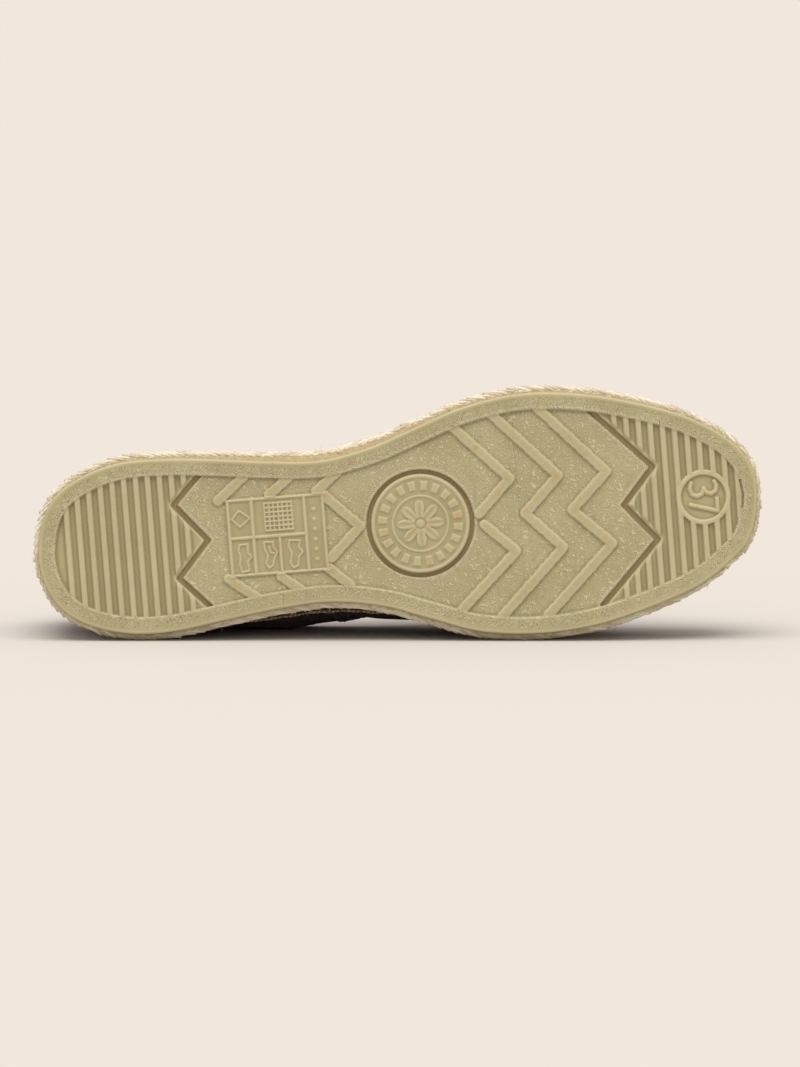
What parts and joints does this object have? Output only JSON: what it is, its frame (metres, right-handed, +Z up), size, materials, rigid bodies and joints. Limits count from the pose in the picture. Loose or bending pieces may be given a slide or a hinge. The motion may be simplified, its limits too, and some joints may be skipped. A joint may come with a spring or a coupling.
{
  "type": "espadrille",
  "caption": "Slip-on canvas espadrille for the left foot on a wound rope sole with a moulded rubber tread, lying empty on its outer side.",
  "frame": {"origin": "centre of the bounding box on the floor that the shoe lies on", "axes": "+X towards the toe, -Y the way the sole's tread faces, +Z up, towards the shoe's inner side"},
  "size_m": [0.2496, 0.0766, 0.0866],
  "materials": {
    "rubber": "matt moulded rubber, olive beige, finely grained",
    "rope": "braided jute, undyed, fuzzy",
    "canvas": "plain-weave cotton canvas, dark plum, matt",
    "sock": "matt cotton sock lining"
  },
  "bodies": {
    "root": {"outsole": "rubber", "midsole": "rope", "upper": "canvas", "insole": "sock"}
  },
  "joints": []
}
